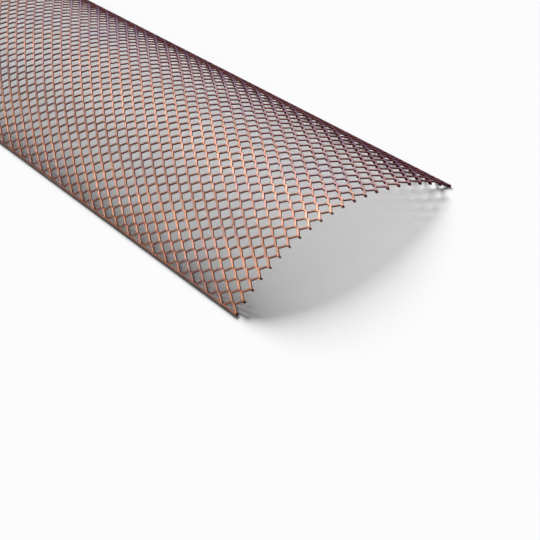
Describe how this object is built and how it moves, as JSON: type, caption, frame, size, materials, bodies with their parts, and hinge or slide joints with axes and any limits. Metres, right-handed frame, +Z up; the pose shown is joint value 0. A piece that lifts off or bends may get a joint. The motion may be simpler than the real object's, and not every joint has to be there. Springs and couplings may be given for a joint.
{
  "type": "gutter guard",
  "caption": "Bowed strip of raised expanded copper mesh that bridges a roof gutter, lets rain through its diamond openings and keeps leaves out.",
  "frame": {"origin": "on the floor under the middle of the arch, halfway along the guard", "axes": "+X along the guard's length, +Y towards the roof side, -Y towards the gutter's lip, +Z up through the crown of the arch"},
  "size_m": [0.9144, 0.1362, 0.0257],
  "materials": {
    "copper": "bright copper with a light brown and violet tarnish"
  },
  "bodies": {
    "root": {"mesh_strip_01": "copper", "mesh_strip_02": "copper", "mesh_strip_03": "copper", "mesh_strip_04": "copper", "mesh_strip_05": "copper", "mesh_strip_06": "copper", "mesh_strip_07": "copper", "mesh_strip_08": "copper", "mesh_strip_09": "copper", "mesh_strip_10": "copper", "mesh_strip_11": "copper"}
  },
  "joints": []
}
